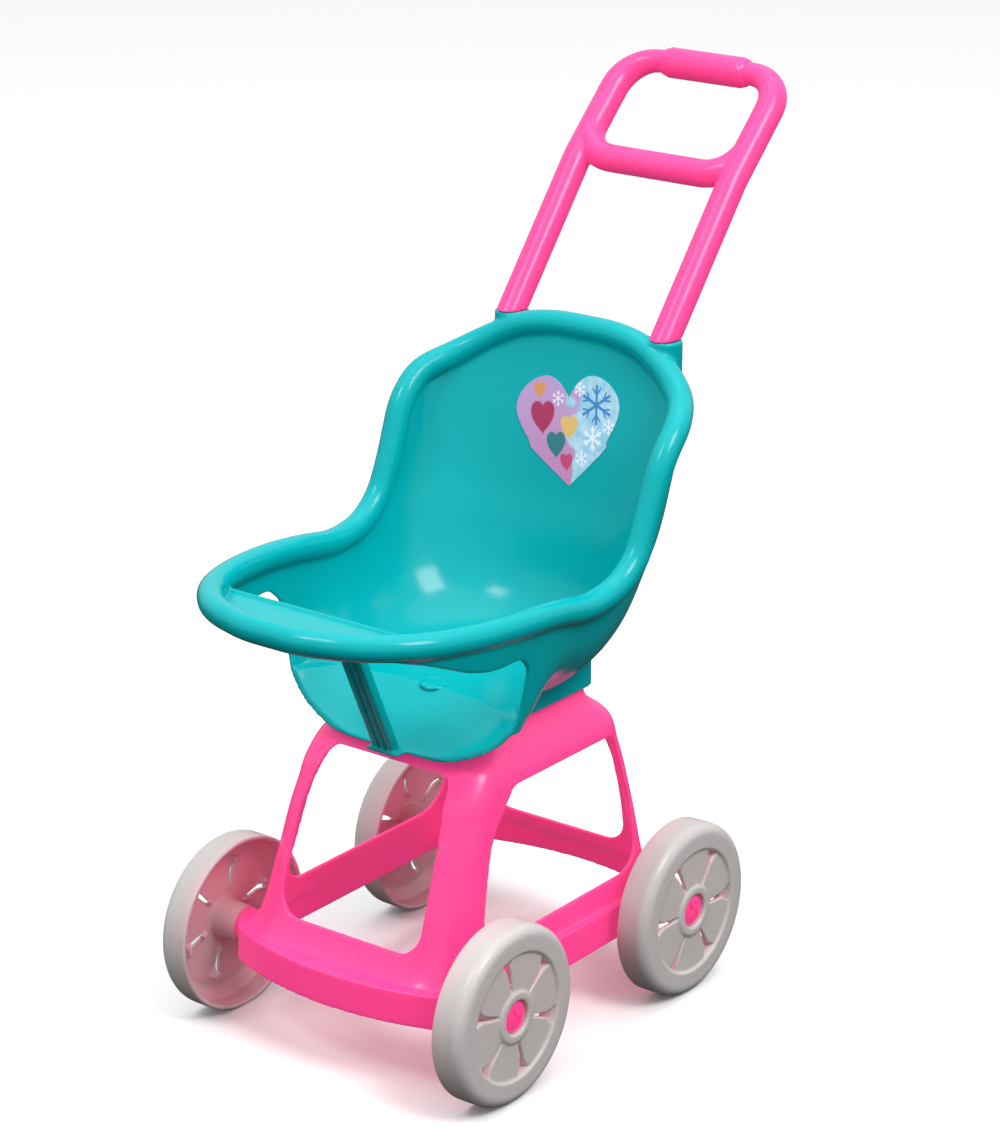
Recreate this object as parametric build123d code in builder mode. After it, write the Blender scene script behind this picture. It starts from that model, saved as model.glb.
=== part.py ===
from build123d import *
import math
import os

# Doll stroller: a moulded pink base on four wheels, a turquoise bucket seat with a tray,
# and a pink push handle.  Millimetres.  +Z up, -Y is the front, +X the pusher's left.
# The origin is on the floor under the middle of the whole stroller.

# ---------------------------------------------------------------- driving dimensions
wheelbase = 181.0
mid_y = -45.0  # middle of the wheelbase
wheel_radius = 55.0
wheel_width = 20.6
track_outer = 230.0  # over the outer faces of the wheels
wheel_face_x = track_outer / 2
axle_z = wheel_radius

wall = 2.4  # moulded wall of the base and the seat
running_gap = 0.3  # between a wheel and what it turns against

pin_radius = 5.0
pin_head_radius = 9.2
boss_radius = 10.5
boss_length = 32.0
boss_end_x = 93.2
hub_radius = 15.0

collar_top = 203.0
skirt_bottom = 199.5  # lower edge of the seat's pedestal

screw_places = [(0, -16.0), (0, 42.0)]
screw_radius = 1.7
screw_head_radius = 3.6

rim_radius = 8.0
tube_radius = 9.0
leg_x = 58.0

# ---------------------------------------------------------------- planes
def level(height):
    """Horizontal plane with its origin over the middle of the wheelbase."""
    return Plane((0, mid_y, height))


side_view = Plane((0, mid_y, 0), x_dir=(0, 1, 0), z_dir=(1, 0, 0))
front_view = Plane((0, mid_y, 0), x_dir=(1, 0, 0), z_dir=(0, -1, 0))


def axle_plane(y, x):
    """Plane across an axle: normal +X, local x along +Y, local y up."""
    return Plane((x, y, axle_z), x_dir=(0, 1, 0), z_dir=(1, 0, 0))


# ---------------------------------------------------------------- base
# Stations of the base's outer skin: height, half width, front, rear, corner radius.
# Front and rear are measured from the middle of the wheelbase.
base_stations = [
    (66.0, 81.0, 116.0, 114.0, 28.0),
    (70.0, 80.0, 112.5, 110.0, 28.0),
    (80.0, 78.5, 107.0, 105.0, 28.0),
    (97.0, 75.8, 101.8, 102.0, 27.0),
    (122.0, 72.5, 93.8, 97.5, 25.0),
    (142.0, 70.5, 86.0, 92.0, 23.0),
    (157.0, 69.3, 78.5, 87.0, 22.0),
    (172.0, 67.3, 68.5, 82.0, 19.0),
    (180.0, 64.5, 61.5, 78.0, 17.0),
    (186.0, 60.0, 54.5, 72.0, 15.0),
    (190.0, 56.0, 47.0, 67.0, 13.0),
    (195.0, 53.4, 39.5, 63.4, 10.0),
    (collar_top, 52.6, 34.5, 62.0, 8.0),
]
ring_bottom = 45.0
ring_top = 66.0
ring_half_width = 85.5
ring_end = 129.8  # middle of the bowed front and rear rails
ring_corner = 111.5
ring_corner_radius = 20.0
ring_draft = 2.5  # degrees


def station_outline(half_width, front, rear, radius):
    with BuildSketch(mode=Mode.PRIVATE) as outline:
        with Locations((0, (rear - front) / 2)):
            RectangleRounded(2 * half_width, front + rear, radius)
    return outline.sketch


def ring_outline(inset):
    """Plan of the lower ring: straight sides, front and rear bowed outwards."""
    half = ring_half_width - inset
    corner = ring_corner - inset
    end = ring_end - inset
    with BuildSketch(mode=Mode.PRIVATE) as outline:
        with BuildLine():
            Line((half, -corner), (half, corner))
            ThreePointArc((half, corner), (0, end), (-half, corner))
            Line((-half, corner), (-half, -corner))
            ThreePointArc((-half, -corner), (0, -end), (half, -corner))
        make_face()
        fillet(outline.vertices(), ring_corner_radius - inset)
    return outline.sketch


def base_window_end(top, radius):
    """Front or rear window: half width grows downwards to the ring."""
    with BuildSketch(mode=Mode.PRIVATE) as window:
        with BuildLine():
            FilletPolyline(
                (0, top),
                (45, top),
                (52, 142),
                (53, 79.5),
                (0, 79.5),
                radius=[radius, 60, 16],
            )
            Line((0, 79.5), (0, top))
        make_face()
        mirror(about=Plane.YZ)
    return window.sketch


def base_skin(inset, ring_depth):
    """Solid under the base's skin, moved in by inset; the ring is ring_depth deep."""
    with BuildPart() as skin:
        for height, half_width, front, rear, radius in base_stations:
            with BuildSketch(level(height - inset)):
                add(station_outline(half_width - inset, front - inset, rear - inset, radius - inset))
        loft()
        with BuildSketch(level(ring_top - inset)):
            add(ring_outline(inset))
        extrude(amount=-ring_depth, taper=-ring_draft)
    return skin.part


base_outside = base_skin(0, ring_top - ring_bottom)
base_inside = base_skin(wall, ring_top - ring_bottom + wall)

with BuildPart() as base_frame:
    add(base_outside)
    add(base_inside, mode=Mode.SUBTRACT)
    # windows
    with BuildSketch(front_view):
        add(base_window_end(178, 10))
    extrude(amount=150, mode=Mode.SUBTRACT)
    with BuildSketch(front_view):
        add(base_window_end(172, 10))
    extrude(amount=-150, mode=Mode.SUBTRACT)
    with BuildSketch(side_view):
        with BuildLine():
            FilletPolyline(
                (-32, 168),
                (-56, 143),
                (-76, 80),
                (80, 80),
                (82, 118),
                (68, 168),
                radius=[13, 60, 14, 20, 40, 9],
                close=True,
            )
        make_face()
    extrude(amount=150, both=True, mode=Mode.SUBTRACT)
    # axle bosses, each through the side of the ring
    for y in (mid_y - wheelbase / 2, mid_y + wheelbase / 2):
        for side in (-1, 1):
            with BuildSketch(axle_plane(y, side * boss_end_x)):
                Circle(boss_radius)
            extrude(amount=-side * boss_length)
    for y in (mid_y - wheelbase / 2, mid_y + wheelbase / 2):
        for side in (-1, 1):
            with BuildSketch(axle_plane(y, side * boss_end_x)):
                Circle(pin_radius + 0.1)
            extrude(amount=-side * (boss_length + 8), mode=Mode.SUBTRACT)
    # holes in the deck for the two screws that hold the seat
    with BuildSketch(level(collar_top)):
        with Locations(*screw_places):
            Circle(screw_radius + 0.3)
    extrude(amount=-10, mode=Mode.SUBTRACT)
base_frame.part.label = "base_frame"


# ---------------------------------------------------------------- seat
# Stations of the bucket's inner skin: height, half width of the front, where the side
# folds inwards behind it, half width of the rest, start of the rear curve, rear, and how
# square the rear curve is.
seat_stations = [
    (213.5, 78.0, -47.0, 52.0, -18.0, 20.0, 2.6),
    (216.0, 81.5, -45.0, 59.0, -16.0, 52.0, 2.6),
    (226.0, 85.0, -41.0, 72.5, -10.0, 76.0, 2.6),
    (243.0, 89.0, -35.0, 85.0, 0.0, 90.0, 2.5),
    (262.0, 92.5, -28.0, 91.5, 15.0, 96.5, 2.5),
    (280.0, 95.5, -22.0, 95.5, 25.0, 101.0, 2.5),
    (304.0, 97.0, -15.0, 97.0, 46.0, 106.0, 2.6),
    (330.0, 97.0, -10.0, 97.0, 59.0, 110.5, 2.8),
    (355.0, 97.5, -5.0, 97.5, 71.0, 116.0, 2.8),
    (380.0, 98.0, 0.0, 98.0, 81.0, 121.5, 2.8),
    (405.0, 98.5, 5.0, 98.5, 90.0, 127.0, 2.8),
]
fold_length = 20.0  # from where the side starts to fold in to where it has
# Stations of the scoop in front of the seat floor: height, half width, rear edge.
scoop_stations = [
    (187.0, 32.0, -61.5),
    (190.5, 50.0, -56.0),
    (197.5, 66.0, -48.0),
    (204.0, 76.0, -40.0),
    (210.0, 81.0, -31.0),
    (214.5, 84.0, -24.0),
]
scoop_middle = -75.0
scoop_front = -110.0
tray_front = -167.0
tray_curve_start = -60.0
tray_squareness = 2.3
bowl_squareness = 2.6
outline_steps = 10  # points in each quarter of an outline


def power_curve(half, length, squareness, step):
    """Point on a quarter of a squared ellipse, from its side (0) to its end."""
    angle = math.pi / 2 * step / outline_steps
    across = half * max(math.cos(angle), 0) ** (2 / squareness)
    along = length * math.sin(angle) ** (2 / squareness)
    return across, along


def closed_outline(half, front_start, front, rear_start, rear, front_square, rear_square, fold=()):
    """Closed smooth plan outline, symmetric about x = 0; fold is its front half width
    and where its side folds in to the other half width."""
    front_half = fold[0] if fold else half
    right = []
    for step in range(outline_steps, -1, -1):
        across, along = power_curve(front_half, front_start - front, front_square, step)
        right.append((across, front_start - along))
    if fold:
        right.append(fold)
        right.append(((front_half + half) / 2, fold[1] + fold_length / 2))
        right.append((half, fold[1] + fold_length))
    for step in range(1 if fold or rear_start == front_start else 0, outline_steps + 1):
        across, along = power_curve(half, rear - rear_start, rear_square, step)
        right.append((across, rear_start + along))
    left = [(-x, y) for x, y in reversed(right[1:-1])]
    with BuildSketch(mode=Mode.PRIVATE) as outline:
        with BuildLine():
            Spline(*right, *left, periodic=True)
        make_face()
    return outline.sketch


def bucket_solid(grow):
    """Solid filling the bucket inside the rim's plan, its skin moved out by grow."""
    with BuildPart() as bucket:
        for height, front_half, fold_y, half, rear_start, rear, square in seat_stations:
            outline = closed_outline(
                half + grow,
                tray_curve_start,
                tray_front - grow,
                rear_start,
                rear + grow,
                tray_squareness,
                square,
                (front_half + grow, fold_y),
            )
            with BuildSketch(level(height - grow)):
                add(outline)
        loft()
    return bucket.part


def scoop_solid(grow):
    """Solid filling the scoop that slopes down in front of the seat floor."""
    with BuildPart() as scoop:
        for height, half, rear in scoop_stations:
            outline = closed_outline(
                half + grow,
                scoop_middle,
                scoop_front,
                scoop_middle,
                rear + grow,
                bowl_squareness,
                bowl_squareness,
            )
            with BuildSketch(level(height - grow)):
                add(outline)
        loft()
    return scoop.part


# Route of the rim's middle on the +X side: x, y from the wheelbase's middle, height.
rim_route = [
    (0, 129.5, 398.5),
    (20, 129.5, 398.5),
    (45, 126, 395.5),
    (68, 120, 383.5),
    (85, 109, 373),
    (97.5, 88, 365),
    (98.5, 71, 349),
    (97, 56.5, 314),
    (97.5, 47, 293),
    (96.5, 28, 279.5),
    (95.5, 0, 275.5),
    (95, -28, 281),
    (95.5, -62, 284),
    (91, -98, 285.5),
    (78, -132, 287),
    (52, -157, 288),
    (18, -167, 288),
    (0, -167, 288),
]
rim_front_z = rim_route[-1][2]
rim_back_z = rim_route[0][2]
lip_bottom = (-64.5, 187.0)
tray_top = 282.5
tray_rear = -116.0
tray_lip_height = 2.2

pedestal_half = 56.0
pedestal_front = -40.5
pedestal_rear = 66.5
pedestal_radius = 9.0

socket_y = 130.5
socket_x = 57.5
socket_radius = 10.8
socket_top = 401.0
socket_bottom = 350.0
socket_web = 9.0  # width of the web
socket_web_top = 384.0
socket_mouth = 20.0  # height of the thicker mouth
socket_step = 0.6
spigot_radius = 7.0
spigot_length = 30.0

post_width = 16.0
post_depth = 6.5
post_top = (-111.0, 276.6)
post_bottom = (-69.5, 184.5)
groove_width = 2.4
groove_depth = 2.2

screw_boss_radius = 5.0
floor_top = 213.5


def bend_radii(points):
    """Largest even bend at each inner corner of a route."""
    radii = []
    for before, corner, after in zip(points, points[1:], points[2:]):
        run_in = Vector(*corner) - Vector(*before)
        run_out = Vector(*after) - Vector(*corner)
        turn = math.radians(run_in.get_angle(run_out))
        radii.append(0.45 * min(run_in.length, run_out.length) / math.tan(turn / 2))
    return radii


bucket_core = bucket_solid(0)
scoop_core = scoop_solid(0)

with BuildPart() as rim:
    with BuildLine(level(0)) as rim_line:
        FilletPolyline(*rim_route, radius=bend_radii(rim_route))
    with BuildSketch(Plane(rim_line.line @ 0, z_dir=rim_line.line % 0)):
        Circle(rim_radius)
    sweep(path=rim_line.line)
    mirror(about=Plane.YZ)

# The wall runs up inside the bead, this far past its middle.
wall_rise = 2.5
join_tolerance = 0.001  # for the places where the wall only grazes the bead

with BuildPart() as above_rim:
    with BuildSketch(side_view):
        with BuildLine():
            Polyline(
                *[(y, z + wall_rise) for x, y, z in rim_route[1:-1]],
                (-200, rim_front_z + wall_rise),
                (-200, 450),
                (200, 450),
                (200, rim_back_z + wall_rise),
                (rim_route[0][1], rim_back_z + wall_rise),
            )
        make_face()
    extrude(amount=150, both=True)

with BuildPart() as seat:
    add(bucket_solid(wall))
    add(scoop_solid(wall))
    # pedestal that drops over the base's collar
    with BuildSketch(level(skirt_bottom)):
        with Locations((0, (pedestal_rear + pedestal_front) / 2)):
            RectangleRounded(2 * pedestal_half, pedestal_rear - pedestal_front, pedestal_radius)
            RectangleRounded(
                2 * (pedestal_half - wall),
                pedestal_rear - pedestal_front - 2 * wall,
                pedestal_radius - wall,
                mode=Mode.SUBTRACT,
            )
    extrude(amount=30)
    # lower part of the handle's sockets, each with a web to the back of the seat
    with BuildSketch(level(socket_bottom)):
        with Locations((-socket_x, socket_y), (socket_x, socket_y)):
            Circle(socket_radius - socket_step)
            with Locations((0, -socket_radius)):
                Rectangle(socket_web, 2 * socket_radius)
    extrude(amount=socket_web_top - socket_bottom)
    add(bucket_core, mode=Mode.SUBTRACT)
    add(scoop_core, mode=Mode.SUBTRACT)
    add(above_rim.part, mode=Mode.SUBTRACT)
    # open front, up to the wall under the tray
    with BuildSketch(side_view):
        with BuildLine():
            FilletPolyline(
                (lip_bottom[0], 150),
                lip_bottom,
                (-57.5, 204),
                (-53, 222),
                (-53, 254),
                (-62, 263),
                (-84, 261.5),
                (-104, 266),
                (-128, 275.5),
                (-145, 280),
                (-200, 280),
                (-200, 150),
                radius=[0, 0, 20, 30, 8, 10, 60, 40, 60, 30, 0, 0],
                close=True,
            )
        make_face()
    extrude(amount=150, both=True, mode=Mode.SUBTRACT)
    add(seat.part.fuse(rim.part, tol=join_tolerance), mode=Mode.REPLACE)
    # tray plate with its raised rear lip
    tray_outline = closed_outline(95.5, tray_curve_start, tray_front, 25, 101, tray_squareness, 2.5)
    for bottom, depth, rear in (
        (tray_top - wall, wall, tray_rear),
        (tray_top, tray_lip_height, tray_rear),
    ):
        with BuildSketch(level(bottom)):
            add(tray_outline)
            front = tray_front if depth == wall else tray_rear - wall
            with Locations((0, (front + rear) / 2)):
                Rectangle(200, rear - front, mode=Mode.INTERSECT)
        extrude(amount=depth)
    # central post from the tray's rear lip down to the front lip of the seat
    post_plane = Plane(
        (0, mid_y + post_bottom[0], post_bottom[1]),
        x_dir=(1, 0, 0),
        z_dir=(0, post_top[0] - post_bottom[0], post_top[1] - post_bottom[1]),
    )
    with BuildSketch(post_plane):
        Rectangle(post_width, post_depth, align=(Align.CENTER, Align.MIN))
        with Locations((-groove_width, 0), (groove_width, 0)):
            Rectangle(groove_width, 2 * groove_depth, mode=Mode.SUBTRACT)
    extrude(amount=math.dist(post_bottom, post_top))
    with BuildSketch(level(lip_bottom[1] - wall)):
        with Locations((0, lip_bottom[0] - 2)):
            Rectangle(post_width + 8, 12)
    extrude(amount=wall)
    # mouths of the sockets
    with BuildSketch(level(socket_top)):
        with Locations((-socket_x, socket_y), (socket_x, socket_y)):
            Circle(socket_radius)
    extrude(amount=-socket_mouth)
    # bores for the handle's spigots
    with BuildSketch(level(socket_top)):
        with Locations((-socket_x, socket_y), (socket_x, socket_y)):
            Circle(spigot_radius + 0.1)
    extrude(amount=-spigot_length - 1, mode=Mode.SUBTRACT)
    # bosses for the two screws that come up through the base's deck
    with BuildSketch(level(collar_top)):
        with Locations(*screw_places):
            Circle(screw_boss_radius)
            Circle(screw_radius + 0.1, mode=Mode.SUBTRACT)
    extrude(amount=floor_top - 1 - collar_top)
seat.part.label = "seat"

# ---------------------------------------------------------------- sticker
# A heart on the backrest, turned a little, as thick as its film.
heart_width = 76.0
heart_height = 66.0
heart_middle = (0, 337)
heart_turn = 9.0  # degrees
film = 0.4

with BuildSketch() as heart:
    with BuildLine():
        lobe = Spline(
            (0, 0.3 * heart_height),
            (0.25 * heart_width, 0.5 * heart_height),
            (0.5 * heart_width, 0.22 * heart_height),
            (0.39 * heart_width, -0.07 * heart_height),
            (0, -0.5 * heart_height),
            tangents=[(0.6, 1), (-1, -0.8)],
        )
        mirror(lobe, about=Plane.YZ)
    make_face()

with BuildPart() as sticker:
    with BuildSketch(front_view):
        with Locations(Location((*heart_middle, 0), (0, 0, heart_turn))):
            add(heart.sketch)
    extrude(amount=-150)
    add(bucket_core, mode=Mode.INTERSECT)
    add(bucket_solid(-film), mode=Mode.SUBTRACT)
sticker.part.label = "sticker"

# ---------------------------------------------------------------- handle
leg_foot = (socket_y + 0.5, socket_top + 0.3)
leg_bend = (199.0, 485.0)
grip_middle = (255.0, 538.6)
loop_corner = 24.0
bar_offset = 2.0
loop_tube_radius = 8.6
grip_radius = 9.6
grip_length = 62.0
grip_step = 0.3  # the grip's ends step down to the tube
grip_step_length = 3.0


def handle_point(x, along_loop):
    """Point on the loop's plane, a distance up from where the legs bend."""
    run = Vector(*grip_middle) - Vector(*leg_bend)
    step = run.normalized() * along_loop
    return (x, leg_bend[0] + step.X, leg_bend[1] + step.Y)


loop_height = math.dist(leg_bend, grip_middle)
with BuildPart() as handle:
    # legs and the top of the loop, one tube
    with BuildLine(level(0)) as hoop:
        FilletPolyline(
            (leg_x, leg_foot[0] - 8.2, leg_foot[1] - 10),
            handle_point(leg_x, 0),
            handle_point(leg_x, loop_height),
            handle_point(-leg_x, loop_height),
            handle_point(-leg_x, 0),
            (-leg_x, leg_foot[0] - 8.2, leg_foot[1] - 10),
            radius=[60, loop_corner, loop_corner, 60],
        )
    with BuildSketch(Plane(hoop.line @ 0, z_dir=hoop.line % 0)):
        Circle(tube_radius)
    sweep(path=hoop.line)
    # lower bar of the loop, curving up into the legs
    with BuildLine(level(0)) as lower_bar:
        FilletPolyline(
            handle_point(leg_x, loop_corner + 14),
            handle_point(leg_x, bar_offset),
            handle_point(-leg_x, bar_offset),
            handle_point(-leg_x, loop_corner + 14),
            radius=loop_corner,
        )
    with BuildSketch(Plane(lower_bar.line @ 0, z_dir=lower_bar.line % 0)):
        Circle(loop_tube_radius)
    sweep(path=lower_bar.line)
    # grip, with stepped ends
    for radius, half in (
        (grip_radius - grip_step, grip_length / 2),
        (grip_radius, grip_length / 2 - grip_step_length),
    ):
        with BuildSketch(Plane((-half, mid_y + grip_middle[0], grip_middle[1]), z_dir=(1, 0, 0))):
            Circle(radius)
        extrude(amount=2 * half)
    # the legs stand flat on the sockets, with a spigot down each bore
    with BuildSketch(level(leg_foot[1])):
        Rectangle(400, 400)
    extrude(amount=-60, mode=Mode.SUBTRACT)
    with BuildSketch(level(leg_foot[1])):
        with Locations((-socket_x, socket_y), (socket_x, socket_y)):
            Circle(spigot_radius)
    extrude(amount=-spigot_length)
handle.part.label = "handle"

# ---------------------------------------------------------------- wheels and axle pins
tread_wall = 2.6
recess_radius = 39.3
recess_depth = 6.0
petal_count = 6
petal_radius = 37.8
petal_half_angle = 24.0
petal_rise = 4.7
slot_middle = 29.3
slot_length = 15.4
slot_width = 2.6
rib_middle = 26.0
rib_length = 29.0
rib_width = 6.4
rib_depth = 1.6
hub_end_x = 93.9
head_seat_x = wheel_face_x - 3.8
head_thickness = 2.8
pin_length = 51.0
head_slot = 2.2
dish_x = wheel_face_x - recess_depth


def radial_plane(y):
    """Plane through an axle: local x along +X, local y up from the axle."""
    return Plane((0, y, axle_z), x_dir=(1, 0, 0), z_dir=(0, -1, 0))


def make_wheel(y, turn):
    """Wheel on the +X side; turn sets where its petals stand, in degrees."""
    inner_x = wheel_face_x - wheel_width
    with BuildPart() as wheel:
        with BuildSketch(radial_plane(y)) as section:
            with BuildLine():
                Polyline(
                    (hub_end_x, pin_radius + running_gap),
                    (hub_end_x, 11.0),
                    (dish_x - 2.4, 12.5),
                    (dish_x - 2.4, recess_radius + 1),
                    (wheel_face_x - 3, recess_radius + 2.6),
                    (wheel_face_x - 3, wheel_radius - 8.5),
                    (wheel_face_x - 8.5, wheel_radius - tread_wall - 0.4),
                    (inner_x, wheel_radius - tread_wall),
                    (inner_x, wheel_radius),
                    (wheel_face_x, wheel_radius),
                    (wheel_face_x, recess_radius + 1),
                    (dish_x, recess_radius),
                    (dish_x, hub_radius),
                    (wheel_face_x, hub_radius),
                    (wheel_face_x, pin_head_radius + 1.4),
                    (head_seat_x, pin_head_radius + 1.4),
                    (head_seat_x, pin_radius + running_gap),
                    close=True,
                )
            make_face()
        revolve(axis=Axis((0, y, axle_z), (1, 0, 0)))
        outer_edges = wheel.edges().filter_by(GeomType.CIRCLE).filter_by_position(
            Axis.X, wheel_face_x - 0.1, wheel_face_x + 0.1
        )
        fillet(outer_edges.sort_by(SortBy.RADIUS)[-1], 6.5)
        fillet(wheel.edges().filter_by(GeomType.CIRCLE).filter_by_position(
            Axis.X, wheel_face_x - 0.1, wheel_face_x + 0.1
        ).sort_by(SortBy.RADIUS)[-2:], 1.2)
        # petals, nearly flush with the face
        with BuildSketch(axle_plane(y, dish_x - 0.5)):
            with PolarLocations(0, petal_count, start_angle=turn):
                with BuildLine():
                    tip = petal_radius * math.cos(math.radians(petal_half_angle))
                    half = petal_radius * math.sin(math.radians(petal_half_angle))
                    FilletPolyline(
                        (hub_radius - 1, 5.5),
                        (tip, half),
                        (petal_radius + 1.2, 0),
                        (tip, -half),
                        (hub_radius - 1, -5.5),
                        radius=[6, 20, 6],
                    )
                    Line((hub_radius - 1, -5.5), (hub_radius - 1, 5.5))
                make_face()
        extrude(amount=petal_rise + 0.5)
        # flat ribs on the inside, behind the gaps between the petals
        gap_turn = turn + 180 / petal_count
        with BuildSketch(axle_plane(y, dish_x - 2)):
            with PolarLocations(rib_middle, petal_count, start_angle=gap_turn):
                Rectangle(rib_length, rib_width)
        extrude(amount=-rib_depth)
        # a slot right through along each gap
        with BuildSketch(axle_plane(y, dish_x)):
            with PolarLocations(slot_middle, petal_count, start_angle=gap_turn):
                SlotOverall(slot_length, slot_width)
        extrude(amount=recess_depth, both=True, mode=Mode.SUBTRACT)
    return wheel.part


def make_pin(y):
    """Split pin on the +X side: slotted head, shaft, and a barb behind the boss."""
    with BuildPart() as pin:
        with BuildSketch(axle_plane(y, head_seat_x + 0.4)):
            Circle(pin_head_radius)
        extrude(amount=head_thickness)
        fillet(pin.edges().group_by(Axis.X)[-1], 0.8)
        with BuildSketch(axle_plane(y, head_seat_x + 0.4)):
            Circle(pin_radius)
        extrude(amount=-pin_length)
        with BuildSketch(axle_plane(y, head_seat_x + 0.4 - pin_length)):
            Circle(pin_radius + 1.1)
        extrude(amount=-4, taper=18)
        with BuildSketch(axle_plane(y, head_seat_x + 0.4 + head_thickness)):
            Rectangle(head_slot, 3 * pin_head_radius)
        extrude(amount=-head_thickness + 0.8, mode=Mode.SUBTRACT)
        with BuildSketch(axle_plane(y, head_seat_x - pin_length - 5)):
            Rectangle(1.6, 4 * pin_radius)
        extrude(amount=20, mode=Mode.SUBTRACT)
    return pin.part


front_y = mid_y - wheelbase / 2
rear_y = mid_y + wheelbase / 2
corners = [
    ("front_left", front_y, 1, 71.0),
    ("rear_left", rear_y, 1, 88.0),
    ("front_right", front_y, -1, 45.0),
    ("rear_right", rear_y, -1, 66.0),
]
turning = []
for name, y, side, turn in corners:
    for kind, shape in (("wheel", make_wheel(y, turn)), ("axle_pin", make_pin(y))):
        if side < 0:
            shape = mirror(shape, about=Plane.YZ)
        shape.label = f"{kind}_{name}"
        turning.append(shape)

# ---------------------------------------------------------------- screws under the seat
with BuildPart() as seat_screws:
    with BuildSketch(level(collar_top - wall - 0.1)):
        with Locations(*screw_places):
            Circle(screw_radius)
    extrude(amount=wall + 8)
    with BuildSketch(level(collar_top - wall - 0.1)):
        with Locations(*screw_places):
            Circle(screw_head_radius)
    extrude(amount=-2.2)
    fillet(seat_screws.edges().group_by(Axis.Z)[0], 0.8)
    with BuildSketch(level(collar_top - wall - 2.4)):
        with Locations(*screw_places):
            Rectangle(4.4, 1)
            Rectangle(1, 4.4)
    extrude(amount=1.4, mode=Mode.SUBTRACT)
seat_screws.part.label = "seat_screws"

# ---------------------------------------------------------------- write one STEP per node
os.makedirs("parts", exist_ok=True)
nodes = [base_frame.part, seat.part, sticker.part, handle.part, seat_screws.part, *turning]
for node in nodes:
    export_step(node, f"parts/{node.label}.step")
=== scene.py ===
import math

import bpy
import bmesh
import numpy as np
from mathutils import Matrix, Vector


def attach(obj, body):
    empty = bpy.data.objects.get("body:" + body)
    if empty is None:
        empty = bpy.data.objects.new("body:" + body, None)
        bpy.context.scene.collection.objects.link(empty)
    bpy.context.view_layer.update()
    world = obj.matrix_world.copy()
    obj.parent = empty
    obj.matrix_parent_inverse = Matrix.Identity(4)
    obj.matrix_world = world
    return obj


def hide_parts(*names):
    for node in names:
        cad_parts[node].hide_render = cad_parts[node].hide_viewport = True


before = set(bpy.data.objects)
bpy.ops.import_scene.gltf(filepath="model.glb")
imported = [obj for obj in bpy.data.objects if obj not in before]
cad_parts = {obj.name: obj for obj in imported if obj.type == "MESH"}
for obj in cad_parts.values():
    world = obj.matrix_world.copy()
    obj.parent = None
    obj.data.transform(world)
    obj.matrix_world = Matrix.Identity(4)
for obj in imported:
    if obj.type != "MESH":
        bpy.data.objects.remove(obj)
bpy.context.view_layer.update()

scene = bpy.context.scene
MM = 0.001

# ---------------------------------------------------------------- dimensions, mm
MID_Y = -45.0            # middle of the wheelbase, from the origin
WHEEL_RADIUS = 55.0
WHEEL_FACE_X = 115.0
WHEEL_INNER_X = 94.4
AXLE_Z = 55.0
HALF_WHEELBASE = 90.5
VOXEL = 0.9              # of the remeshed skins


# ---------------------------------------------------------------- shader helpers
class Nodes:
    """Short calls for building one material's node tree."""

    def __init__(self, name):
        self.material = bpy.data.materials.new(name)
        self.material.use_nodes = True
        self.tree = self.material.node_tree
        self.shader = self.tree.nodes["Principled BSDF"]
        self.place = self.add("ShaderNodeTexCoord").outputs["Object"]

    def add(self, kind, **settings):
        node = self.tree.nodes.new(kind)
        for key, value in settings.items():
            setattr(node, key, value)
        return node

    def link(self, source, target):
        self.tree.links.new(source, target)

    def feed(self, value, socket):
        if hasattr(value, "node"):
            self.link(value, socket)
        else:
            socket.default_value = value

    def noise(self, scale, detail=3.0, roughness=0.5):
        node = self.add("ShaderNodeTexNoise")
        node.inputs["Scale"].default_value = scale
        node.inputs["Detail"].default_value = detail
        node.inputs["Roughness"].default_value = roughness
        self.link(self.place, node.inputs["Vector"])
        return node.outputs["Fac"]

    def remap(self, value, low, high, out_low, out_high, smooth=False):
        node = self.add("ShaderNodeMapRange")
        if smooth:
            node.interpolation_type = "SMOOTHSTEP"
        self.link(value, node.inputs["Value"])
        node.inputs["From Min"].default_value = low
        node.inputs["From Max"].default_value = high
        node.inputs["To Min"].default_value = out_low
        node.inputs["To Max"].default_value = out_high
        return node.outputs["Result"]

    def math(self, operation, first, second=0.0, third=0.0):
        node = self.add("ShaderNodeMath", operation=operation)
        for value, socket in zip((first, second, third), node.inputs):
            self.feed(value, socket)
        return node.outputs["Value"]

    def mix(self, share, first, second, blend="MIX"):
        node = self.add("ShaderNodeMix", data_type="RGBA", blend_type=blend)
        sockets = [s for s in node.inputs if s.type == "RGBA"]
        self.feed(share, node.inputs["Factor"])
        for value, socket in zip((first, second), sockets):
            self.feed((*value, 1.0) if isinstance(value, tuple) else value, socket)
        return [s for s in node.outputs if s.type == "RGBA"][0]

    def bump(self, height, strength, distance, under=None):
        node = self.add("ShaderNodeBump")
        node.inputs["Strength"].default_value = strength
        node.inputs["Distance"].default_value = distance
        self.link(height, node.inputs["Height"])
        if under is not None:
            self.link(under, node.inputs["Normal"])
        return node.outputs["Normal"]


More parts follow.
